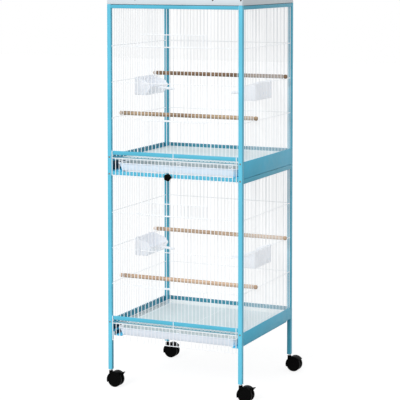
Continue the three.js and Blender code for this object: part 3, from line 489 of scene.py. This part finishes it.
front_columns = [k * wire_pitch for k in range(-front_half_count, front_half_count + 1)]
side_columns = [(k + 0.5) * wire_pitch for k in range(-side_half_count, side_half_count)]
front_reach = half_width - post_size - panel_end_gap
side_reach = half_depth - post_size - panel_end_gap
full = [(-front_reach, front_reach)]
beside = [(-front_reach, -doorway + doorway_wire), (doorway - doorway_wire, front_reach)]
for tier, top in tiers:
    panel_coat = dipped_coat("white wire of the %s tier" % tier, top - blue_tail_drop)
    header, middle, sill = [top - drop for drop in cross_drops]
    bottom = top - panel_bottom_drop - upright_wire
    plane = -half_depth + panel_inset
    front = wire_panel(front_columns, front_reach, plane, top - panel_top_gap, bottom,
                       [(header, full), (middle, beside), (sill, full)],
                       opening=(sill, header))
    settle(tier + "_front_wires", front, panel_coat, "frame", [tier + "_panel_front"])
    rear = wire_panel(front_columns, front_reach, plane, top - panel_top_gap, bottom,
                      [(z, full) for z in (header, middle, sill)])
    bmesh.ops.rotate(rear, verts=rear.verts, cent=(0, 0, 0),
                     matrix=Matrix.Rotation(math.pi, 3, "Z"))
    settle(tier + "_rear_wires", rear, panel_coat, "frame", [tier + "_panel_rear"])
    side_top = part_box(tier + "_panel_left")[1].z
    for side_name, turn in (("left", -math.pi / 2), ("right", math.pi / 2)):
        shape = wire_panel(side_columns, side_reach, -half_width + panel_inset, side_top,
                           bottom, [(z, [(-side_reach, side_reach)])
                                    for z in (header, middle, sill)])
        bmesh.ops.rotate(shape, verts=shape.verts, cent=(0, 0, 0),
                         matrix=Matrix.Rotation(turn, 3, "Z"))
        settle("%s_%s_wires" % (tier, side_name), shape, panel_coat, "frame",
               ["%s_panel_%s" % (tier, side_name)])

# Front doors. A lighter grille hung by two bent eyes on the left thick upright, with a stout
# wire across it at the header whose end hooks over the right thick upright.
door_side_gap = 0.0133
door_standoff = 0.0013
door_above_header = 0.0376
door_below_sill = 0.0034
door_gaps = 18
door_edge = doorway - door_side_gap
door_plane = -half_depth + panel_inset - upright_wire - door_standoff - upright_wire
door_pitch = 2 * door_edge / door_gaps
edge_wire = 0.0012
edge_overhang = 0.0008
stay_wire = 0.0015
stay_overhang = 0.001
stay_lap = 0.0002
stay_weld_depth = 0.0013
middle_weld_depth = 0.0011
latch_bend = ((-0.001, 0.0), (0.0012, 0.0), (0.0022, 0.0004), (0.0024, 0.0016))
eye_radius = 0.0035
eye_rise = 0.0036


def bent_wire(shape, path, radius, sides=8):
    """Round wire bent along a list of points: a ring swept from point to point."""
    path = [Vector(p) for p in path]
    tangents = [(path[min(i + 1, len(path) - 1)] - path[max(i - 1, 0)]).normalized()
                for i in range(len(path))]
    facing = tangents[0].to_track_quat("Z", "Y")
    ring = bmesh.ops.create_circle(
        shape, cap_ends=True, segments=sides, radius=radius,
        matrix=Matrix.Translation(path[0]) @ facing.to_matrix().to_4x4())["verts"]
    cap = ring[0].link_faces[0]
    for i in range(1, len(path)):
        grown = bmesh.ops.extrude_face_region(shape, geom=[cap])
        ring = [v for v in grown["geom"] if isinstance(v, bmesh.types.BMVert)]
        if i > 1:
            bmesh.ops.delete(shape, geom=[cap], context="FACES_ONLY")
        cap = next(f for f in grown["geom"] if isinstance(f, bmesh.types.BMFace))
        turn = tangents[i - 1].rotation_difference(tangents[i])
        bmesh.ops.translate(shape, verts=ring, vec=path[i] - path[i - 1])
        bmesh.ops.rotate(shape, verts=ring, cent=path[i], matrix=turn.to_matrix())


def arc(centre, radius, start, end, steps, z):
    points = []
    for i in range(steps + 1):
        a = math.radians(start + (end - start) * i / steps)
        points.append((centre[0] + radius * math.cos(a), centre[1] + radius * math.sin(a), z))
    return points


for tier, top in tiers:
    header, middle, sill = [top - drop for drop in cross_drops]
    door_top, door_bottom = header + door_above_header, sill - door_below_sill
    shape = bmesh.new()
    for k in range(door_gaps + 1):
        x = -door_edge + k * door_pitch
        rod(shape, (x, door_plane, door_bottom), (x, door_plane, door_top),
            edge_wire if k in (0, door_gaps) else upright_wire)
    reach = door_edge + edge_overhang
    for z in (door_top - upright_wire, door_bottom + upright_wire):
        rod(shape, (-reach, door_plane, z), (reach, door_plane, z), edge_wire)
    reach = door_edge + stay_overhang
    stay_plane = door_plane - upright_wire - stay_wire + stay_lap
    rod(shape, (-reach, stay_plane, header), (doorway, stay_plane, header), stay_wire, 10)
    bent_wire(shape, [(doorway + u, stay_plane + v, header) for u, v in latch_bend],
              stay_wire, 10)
    middle_plane = door_plane - upright_wire - cross_wire
    rod(shape, (-reach, middle_plane, middle), (reach, middle_plane, middle), cross_wire)
    for k in range(door_gaps + 1):
        x = -door_edge + k * door_pitch
        weld(shape, x, door_plane - middle_weld_depth, middle)
        weld(shape, x, door_plane - stay_weld_depth, header)
    pivot = (-doorway, -half_depth + panel_inset)
    for z in (header + eye_rise, sill + eye_rise):
        lead = [(-door_edge + 0.0006, door_plane - 0.0002, z), (-door_edge - 0.004, door_plane, z),
                (pivot[0] + 0.0045, pivot[1] - 0.0034, z)]
        bent_wire(shape, lead + arc(pivot, eye_radius, -60, -345, 20, z), edge_wire)
        weld(shape, -door_edge, door_plane, z)
    settle(tier + "_door_wires", shape, white_coat, tier + "_door", [tier + "_door"])

# Trays. Shallow pans pressed from sheet, with sloped walls and a rolled lip all round, that
# slide out over the runners. The outside is painted pale lilac, and the inside is darkened with
# painted shade, in the upper tray most of all.
tray_sheet = 0.0012
lip_depth = 0.002
tray_paint = powder_coat("pale lilac tray paint", (0.86, 0.89, 0.95), 0.36, spread=0.02)
# Painted glow lifts the tray's pale outside.
paint_in_glow(tray_paint, (0.62, 0.80, 1.0), 0.16)
shaded_tray_insides = {
    "upper": powder_coat("upper tray inside in painted shade", (0.48, 0.56, 0.59), 0.6, spread=0.06),
    "lower": powder_coat("lower tray inside in painted shade", (0.74, 0.83, 0.85), 0.5, spread=0.04),
}


def pan(shape, rings, corner_steps=5):
    """A pressed pan: one rounded rectangle lofted through rings of half width, ends, height
    and corner radius."""
    loops = []
    for half_x, low_y, high_y, z, corner in rings:
        loop = []
        for cx, cy, turn in ((1, 1, 0), (-1, 1, 90), (-1, -1, 180), (1, -1, 270)):
            for i in range(corner_steps + 1):
                a = math.radians(turn + 90 * i / corner_steps)
                y_edge = high_y if cy > 0 else low_y
                loop.append(shape.verts.new((
                    cx * (half_x - corner) + corner * math.cos(a),
                    y_edge - cy * corner + corner * math.sin(a), z)))
        loops.append([shape.edges.new((loop[i], loop[(i + 1) % len(loop)]))
                      for i in range(len(loop))])
    for lower, upper in zip(loops, loops[1:]):
        bmesh.ops.bridge_loops(shape, edges=lower + upper)
    bmesh.ops.edgeloop_fill(shape, edges=loops[0])
    bmesh.ops.edgeloop_fill(shape, edges=loops[-1])


for tier, top in tiers:
    low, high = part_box(tier + "_tray")
    low, high = low - cage_middle, high - cage_middle
    z0, z1 = low.z, high.z
    outline = [
        (0.0125, z0, 0.008), (0.0105, z0 + 0.0006, 0.010), (0.0094, z0 + 0.002, 0.011),
        (0.0034, z1 - 0.0042, 0.012), (0.0030, z1 - 0.0026, 0.012),
        (0.0014, z1 - 0.0030, 0.013), (0.0003, z1 - 0.0022, 0.014),
        (0.0000, z1 - 0.0012, 0.014), (0.0006, z1 - 0.0003, 0.0135),
        (0.0018, z1, 0.013), (0.0036, z1 - 0.0003, 0.012),
        (0.0046, z1 - 0.0016, 0.011), (0.0107, z0 + 0.0034, 0.010),
        (0.0120, z0 + 0.0019, 0.009), (0.0145, z0 + tray_sheet, 0.007)]
    shape = bmesh.new()
    pan(shape, [(high.x - inset, low.y + inset, high.y - inset, z, corner)
                for inset, z, corner in outline])
    bmesh.ops.recalc_face_normals(shape, faces=shape.faces)
    # Faces inside the pan below the lip take the painted shade.
    for face in shape.faces:
        spot = face.calc_center_median()
        inward = face.normal.x * spot.x + face.normal.y * spot.y < 0
        level = face.normal.z > 0.9
        if spot.z < z1 - lip_depth and (inward or level):
            face.material_index = 1
    tray = settle(tier + "_litter_pan", shape, tray_paint, tier + "_tray", [tier + "_tray"],
                  smooth=60)
    tray.data.materials.append(shaded_tray_insides[tier])

# Floor grates. A welded wire floor over each tray that slides out with it. Three long wires
# under the floor bend down over the tray's lips, and in front they carry a low grille whose
# three fingers reach up over the base rail.
guard_standoff = 0.0032
guard_lap = 0.0022
guard_cross_wire = 0.0011
guard_overhang = 0.001
finger_wire = 0.00115
finger_tip = 0.0004
lip_clearance = 0.0013
arm_rise = 0.0083
rung_gap = 0.0002
floor_reach = 0.2036
floor_edge = 0.2028
floor_half_count = 16
guard_plane = -half_depth - guard_standoff
finger_columns = (-front_half_count, 0, front_half_count)
arm_columns = (2 - front_half_count, 1, front_half_count - 2)
floor_coat = powder_coat("cool white coat of the floor wires", (0.76, 0.86, 0.89), 0.42)
for tier, top in tiers:
    low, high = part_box(tier + "_floor_grate")
    tray_low, tray_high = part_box(tier + "_tray")
    guard_top = top - panel_bottom_drop - guard_lap + upright_wire
    shape = bmesh.new()
    for k in range(-front_half_count, front_half_count + 1):
        x = k * wire_pitch
        if k in finger_columns:
            rod(shape, (x, guard_plane, low.z), (x, guard_plane, high.z), finger_wire,
                tip=finger_tip)
        else:
            rod(shape, (x, guard_plane, low.z), (x, guard_plane, guard_top), upright_wire)
    reach = front_half_count * wire_pitch + guard_overhang
    for z in (low.z + upright_wire, guard_top - upright_wire):
        rod(shape, (-reach, guard_plane, z), (reach, guard_plane, z), guard_cross_wire)
    lip_z = tray_high.z + lip_clearance
    arm_z = tray_high.z + arm_rise
    lip_y = tray_low.y - cage_middle.y + upright_wire
    rear_y = tray_high.y - cage_middle.y - upright_wire
    for k in arm_columns:
        x = k * wire_pitch
        bent_wire(shape, [(x, guard_plane, arm_z), (x, rear_y - 0.002, arm_z),
                          (x, rear_y - 0.0006, arm_z - 0.0006), (x, rear_y, arm_z - 0.002),
                          (x, rear_y, lip_z - upright_wire)], upright_wire)
        bent_wire(shape, [(x, lip_y, arm_z), (x, lip_y, lip_z + 0.0018),
                          (x, lip_y + 0.0006, lip_z + 0.0005), (x, lip_y + 0.0018, lip_z),
                          (x, lip_y + 0.0046, lip_z), (x, lip_y + 0.0060, lip_z - 0.0006),
                          (x, lip_y + 0.0066, lip_z - 0.0020),
                          (x, lip_y + 0.0066, lip_z - 0.0066)], upright_wire)
        weld(shape, x, guard_plane, arm_z)
    rung_z = arm_z + 2 * upright_wire + rung_gap
    floor_wires = bmesh.new()
    for i in range(-floor_half_count, floor_half_count + 1):
        y = i * wire_pitch
        rod(floor_wires, (-floor_reach, y, rung_z), (floor_reach, y, rung_z), upright_wire)
    reach = floor_half_count * wire_pitch + upright_wire
    for side in (-1, 1):
        rod(floor_wires, (side * floor_edge, -reach, rung_z), (side * floor_edge, reach, rung_z),
            upright_wire)
    settle(tier + "_floor_wires", floor_wires, floor_coat, tier + "_tray")
    settle(tier + "_grate_wires", shape, white_coat, tier + "_tray", [tier + "_floor_grate"])

# Star knob. A moulded black knob with five soft lobes, clamped through the upper guard by a
# screw and washer.
knob_x = -0.0155
knob_radius = 0.0113
lobe_depth = 0.0013
lobes, around = 5, 60
knob_sections = ((0.0, 0.55), (0.0004, 0.80), (0.0016, 0.95), (0.0036, 1.0), (0.0070, 1.0),
                 (0.0090, 0.93), (0.0099, 0.80))
shank_start, shank_end, shank_radius = 0.0095, 0.0133, 0.0024
washer_start, washer_end, washer_radius = 0.0126, 0.0138, 0.0074
washer_rounding = 0.0003
black_plastic, black_tree, black_surface = shader("black moulded plastic", (0.0022,) * 3, 0.45)
black_surface.inputs["IOR"].default_value = 1.1
vary_roughness(black_tree, black_surface, noise(black_tree, scale=300.0), low=0.34, high=0.5)
emboss(black_tree, black_surface, noise(black_tree, scale=1400.0, detail=2.0), strength=0.15,
       depth=0.0002)
low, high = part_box("guard_knob")
knob_z = (low.z + high.z) / 2
face_y = low.y - cage_middle.y
shape = bmesh.new()
edges = []
for depth, shrink in knob_sections:
    loop = []
    for i in range(around):
        a = 2 * math.pi * i / around
        r = (knob_radius - lobe_depth * (1 - math.cos(lobes * a)) / 2) * shrink
        loop.append(shape.verts.new((knob_x + r * math.cos(a), face_y + depth,
                                     knob_z + r * math.sin(a))))
    edges.append([shape.edges.new((loop[i], loop[(i + 1) % around])) for i in range(around)])
for lower, upper in zip(edges, edges[1:]):
    bmesh.ops.bridge_loops(shape, edges=lower + upper)
bmesh.ops.edgeloop_fill(shape, edges=edges[0])
bmesh.ops.edgeloop_fill(shape, edges=edges[-1])
rod(shape, (knob_x, face_y + shank_start, knob_z), (knob_x, face_y + shank_end, knob_z),
    shank_radius, 16)
rod(shape, (knob_x, face_y + washer_start, knob_z), (knob_x, face_y + washer_end, knob_z),
    washer_radius, 28, tip=washer_rounding)
settle("star_knob", shape, black_plastic, "guard_knob", ["guard_knob"],
       smooth=50)

# Perches. Half inch hardwood dowels with rounded ends, grooved where they pass between two side
# uprights. The upper pair is darker than the lower.
neck = 0.0046
groove_floor, groove_mouth = 0.0016, 0.0024
tip_round = 0.003


def dowel_wood(name, light, dark):
    look, tree, surface = shader(name, light, 0.62)
    grain = noise(tree, scale=42.0, detail=6.0, stretch=(0.09, 5.0, 5.0))
    blotch = noise(tree, scale=14.0, stretch=(0.5, 1.0, 1.0))
    mixed = calculate(tree, "MULTIPLY_ADD", grain, 0.6, calculate(tree, "MULTIPLY", blotch, 0.4))
    middle = tuple((a + b) / 2 for a, b in zip(light, dark))
    colour = ramp(tree, mixed, [(0.36, dark), (0.48, middle), (0.62, light)])
    tree.links.new(colour, surface.inputs["Base Color"])
    vary_roughness(tree, surface, grain, low=0.52, high=0.75)
    emboss(tree, surface, grain, strength=0.35, depth=0.0005)
    return look


perch_looks = {
    "upper_perch_rear": dowel_wood("perch wood dark", (0.44, 0.27, 0.15), (0.11, 0.058, 0.03)),
    "upper_perch_front": dowel_wood("perch wood mid", (0.64, 0.46, 0.29), (0.25, 0.155, 0.09)),
    "lower_perch_rear": dowel_wood("perch wood light", (0.86, 0.62, 0.43), (0.60, 0.40, 0.27)),
    "lower_perch_front": dowel_wood("perch wood pale", (0.80, 0.57, 0.40), (0.54, 0.35, 0.23)),
}
groove = half_width - panel_inset
for name, look in perch_looks.items():
    low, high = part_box(name)
    low, high = low - cage_middle, high - cage_middle
    y, z = (low.y + high.y) / 2, (low.z + high.z) / 2
    radius = (high.z - low.z) / 2
    reach = high.x
    stations = [(0, radius), (groove - groove_mouth, radius), (groove - groove_floor, neck),
                (groove + groove_floor, neck), (groove + groove_mouth, radius),
                (reach - tip_round, radius)]
    stations += [(reach - tip_round + tip_round * math.sin(math.radians(a)),
                  radius - tip_round + tip_round * math.cos(math.radians(a)))
                 for a in (30, 55, 75, 90)]
    shape = bmesh.new()
    half_line = [shape.verts.new((x, y + r, z)) for x, r in stations]
    tip = shape.verts.new((reach, y, z))
    line = [shape.edges.new(pair) for pair in zip(half_line, half_line[1:] + [tip])]
    bmesh.ops.spin(shape, geom=half_line + [tip] + line, cent=(0, y, z), axis=(1, 0, 0),
                   angle=2 * math.pi, steps=28, use_merge=True)
    bmesh.ops.remove_doubles(shape, verts=shape.verts, dist=0.000005)
    bmesh.ops.mirror(shape, geom=shape.verts[:] + shape.edges[:] + shape.faces[:],
                     axis="X", merge_dist=0.00001)
    settle(name.replace("_perch_", "_dowel_"), shape, look, "frame", [name])

# Feeder cups. Moulded translucent hoppers with a sloping inner face, hung by two hooks on the
# middle cross wire of a side panel. A round landing stub stands out from the sloping face.
cup_wall = 0.0018
cup_height = 0.056
cup_above_wire = 0.005
cup_wire_gap = 0.00025
cup_clearance = 0.0003
cup_outside = ((0, 0), (0.040, 0), (0.056, 0.026), (0.044, 0.041), (0, cup_height))
cup_hollow = ((cup_wall, cup_wall), (0.0394, cup_wall), (0.0542, 0.026), (0.0542, 0.070),
              (cup_wall, 0.070))
outside_rounding, inside_rounding, hook_rounding = 0.0022, 0.0016, 0.0004
stub_start = (0.0528, 0.0216)
stub_length, stub_radius, stub_rounding = 0.0530, 0.004, 0.0015
stub_head, stub_head_radius, stub_head_rounding = 0.0042, 0.0058, 0.001
stub_droop = math.radians(5)
hook_outline = ((0.001, 0.0526), (-0.0029, 0.0526), (-0.0029, 0.048), (-0.0043, 0.048),
                (-0.0043, 0.0556), (0.001, 0.0556))
hook_half_width = 0.003
hook_insets = {"left": 0.0213, "right": 0.0153}
cup_plastic, cup_tree, cup_surface = shader("milky cup plastic", (0.79, 0.82, 0.87), 0.32)
cup_surface.inputs["Subsurface Weight"].default_value = 0.4
cup_surface.inputs["Subsurface Scale"].default_value = 0.02
cup_surface.inputs["Subsurface Radius"].default_value = (1, 1, 1)
cup_surface.inputs["IOR"].default_value = 1.46
# Painted glow lifts the pale cup.
paint_in_glow(cup_plastic, (0.92, 0.94, 1.0), 0.20)
vary_roughness(cup_tree, cup_surface, noise(cup_tree, scale=90.0), low=0.24, high=0.4)
emboss(cup_tree, cup_surface, noise(cup_tree, scale=35.0, detail=2.0), strength=0.12,
       depth=0.001)


def hollowed(outside, inside):
    """Cuts one closed shape out of another."""
    blanks = []
    for part in (outside, inside):
        mesh = bpy.data.meshes.new("cup blank")
        part.to_mesh(mesh)
        part.free()
        blanks.append(bpy.data.objects.new("cup blank", mesh))
        bpy.context.scene.collection.objects.link(blanks[-1])
    carve = blanks[0].modifiers.new("hollow", "BOOLEAN")
    carve.operation = "DIFFERENCE"
    carve.solver = "EXACT"
    carve.object = blanks[1]
    bpy.context.view_layer.update()
    carved = blanks[0].evaluated_get(bpy.context.evaluated_depsgraph_get())
    shape = bmesh.new()
    shape.from_mesh(carved.to_mesh())
    for blank in blanks:
        mesh = blank.data
        bpy.data.objects.remove(blank)
        bpy.data.meshes.remove(mesh)
    return shape


cup_back = (half_width - panel_inset - upright_wire - cup_wire_gap - 2 * cross_wire
            - cup_clearance)
for tier, top in tiers:
    for side_name, side in (("left", -1), ("right", 1)):
        name = "%s_cup_%s" % (tier, side_name)
        low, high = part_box(name)
        low, high = low - cage_middle, high - cage_middle
        y0, y1 = low.y, high.y
        cup_floor = top - cross_drops[1] + cup_above_wire - cup_height

        def placed(outline):
            return [(side * (cup_back - d), cup_floor + h) for d, h in outline]

        outside, inside = bmesh.new(), bmesh.new()
        section(outside, placed(cup_outside), y0, y1, "y")
        soften(outside, outside_rounding, 3, 20)
        section(inside, placed(cup_hollow), y0 + cup_wall, y1 - cup_wall, "y")
        soften(inside, inside_rounding, 3, 20)
        shape = hollowed(outside, inside)
        stub_x, stub_z = placed([stub_start])[0]
        start = Vector((stub_x, (y0 + y1) / 2, stub_z))
        run = Vector((-side * math.cos(stub_droop), 0, -math.sin(stub_droop)))
        rod(shape, start, start + run * stub_length, stub_radius, 20, tip=stub_rounding)
        rod(shape, start, start + run * stub_head, stub_head_radius, 20, tip=stub_head_rounding)
        hook_inset = hook_insets[side_name]
        for hook_y in (y0 + hook_inset, y1 - hook_inset):
            hook = bmesh.new()
            section(hook, placed(hook_outline), hook_y - hook_half_width,
                    hook_y + hook_half_width, "y")
            soften(hook, hook_rounding)
            join(shape, hook)
        settle(name.replace("_cup_", "_feeder_"), shape, cup_plastic, name, [name])

# Casters. Twin wheels in a matt black moulding on the stem, trailing to the right. The moulding
# wraps over both wheels and drops between them to the axle, and the front two have a brake
# pedal.
wheel_radius, caster_trail = 0.022, 0.0173
wheel_profile = ((0, 0.0140), (0.0045, 0.0140), (0.0052, 0.0146), (0.0075, 0.0146),
                 (0.0085, 0.0136), (0.0170, 0.0136), (0.0180, 0.0149), (0.0200, 0.0149),
                 (0.0215, 0.0138), (wheel_radius, 0.0120), (wheel_radius, 0.0060),
                 (0.0214, 0.0042), (0.0200, 0.0036), (0.0, 0.0036))
axle_radius = 0.003
axle_half = Vector((0, 0.006, 0))
hood_rounding = 0.0006
brake_rounding = 0.0005


def disc(shape, centre, stations, steps=40):
    """Turns a profile of (radius, offset along the axle) about an axle that lies along Y."""
    line = [shape.verts.new((centre.x + r, centre.y + h, centre.z)) for r, h in stations]
    joined = [shape.edges.new(pair) for pair in zip(line, line[1:])]
    bmesh.ops.spin(shape, geom=line + joined, cent=centre, axis=(0, 1, 0), angle=2 * math.pi,
                   steps=steps, use_merge=True)


for corner, side, end in corners:
    hub = Vector((*post_centre(side, end), 0)) + Vector((caster_trail, 0, wheel_radius))
    wheels = bmesh.new()
    for face in (-1, 1):
        disc(wheels, hub, [(r, face * h) for r, h in wheel_profile])
    rod(wheels, hub - axle_half, hub + axle_half, axle_radius, 20)
    bmesh.ops.remove_doubles(wheels, verts=wheels.verts, dist=0.000005)
    settle("twin_wheels_" + corner, wheels, black_plastic, "caster_wheels_" + corner,
           ["caster_wheels_" + corner])
    smoothed_copy("caster_hood_" + corner, black_plastic, "caster_hood_" + corner,
                  hood_rounding)
    if end < 0:
        smoothed_copy("caster_brake_" + corner, black_plastic, "caster_brake_" + corner,
                      brake_rounding)

# Floor and light. A plain white floor that keeps the cage's soft shadow, an even white
# surround, and one broad lamp from the front left.
floor_size = 30
floor_grey = 0.22
floor_level = 0.86
surround_light = 0.66


def seen_directly(tree):
    """1 for rays that the camera, a shiny face or a clear one sends out, and 0 for the rest."""
    rays = tree.nodes.new("ShaderNodeLightPath")
    seen = calculate(tree, "MAXIMUM", rays.outputs["Is Camera Ray"],
                     rays.outputs["Is Glossy Ray"])
    return calculate(tree, "MAXIMUM", seen, rays.outputs["Is Transmission Ray"])


bpy.ops.mesh.primitive_plane_add(size=floor_size, location=(0, 0, 0))
floor = bpy.context.object
floor.name = "studio_floor"
floor_look = bpy.data.materials.new("studio floor")
floor_look.use_nodes = True
tree = floor_look.node_tree
tree.nodes.clear()
out = tree.nodes.new("ShaderNodeOutputMaterial")
matt = tree.nodes.new("ShaderNodeBsdfDiffuse")
matt.inputs["Color"].default_value = (floor_grey, floor_grey, floor_grey, 1)
glow = tree.nodes.new("ShaderNodeEmission")
added = tree.nodes.new("ShaderNodeAddShader")
level = calculate(tree, "MULTIPLY", seen_directly(tree), floor_level)
tree.links.new(level, glow.inputs["Strength"])
tree.links.new(matt.outputs[0], added.inputs[0])
tree.links.new(glow.outputs[0], added.inputs[1])
tree.links.new(added.outputs[0], out.inputs["Surface"])
floor.data.materials.append(floor_look)

world = bpy.data.worlds.new("white surround")
bpy.context.scene.world = world
world.use_nodes = True
tree = world.node_tree
surround = tree.nodes["Background"]
surround.inputs["Color"].default_value = (1, 1, 1, 1)
strength = tree.nodes.new("ShaderNodeMapRange")
strength.inputs["To Min"].default_value = surround_light
strength.inputs["To Max"].default_value = 1.0
tree.links.new(seen_directly(tree), strength.inputs["Value"])
tree.links.new(strength.outputs["Result"], surround.inputs["Strength"])

lamp = bpy.data.lights.new("broad front lamp", "SUN")
lamp.energy = 1.75
lamp.angle = math.radians(24)
lamp_beam = Vector((0.12, 0.87, -0.47))
lamp_holder = bpy.data.objects.new("broad front lamp", lamp)
lamp_holder.rotation_euler = lamp_beam.to_track_quat("-Z", "Y").to_euler()
bpy.context.scene.collection.objects.link(lamp_holder)

# Camera. A long lens a little above the roof, to the right of the front, looking slightly down,
# with the frame shifted down to take in the casters.
lens_place = Vector((1.9744, -4.3727, 1.2725))
lens_tilt = math.radians(90 - 3.796)
lens_turn = math.radians(24.372)
camera = bpy.data.cameras.new("camera")
camera.sensor_fit = "HORIZONTAL"
camera.sensor_width = 36
camera.lens = 141.4
camera.shift_y = -0.324
camera.clip_end = 60
viewer = bpy.data.objects.new("camera", camera)
viewer.location = lens_place + cage_middle
viewer.rotation_euler = (lens_tilt, 0, lens_turn)
bpy.context.scene.collection.objects.link(viewer)
bpy.context.scene.camera = viewer
bpy.context.scene.view_settings.view_transform = "Standard"
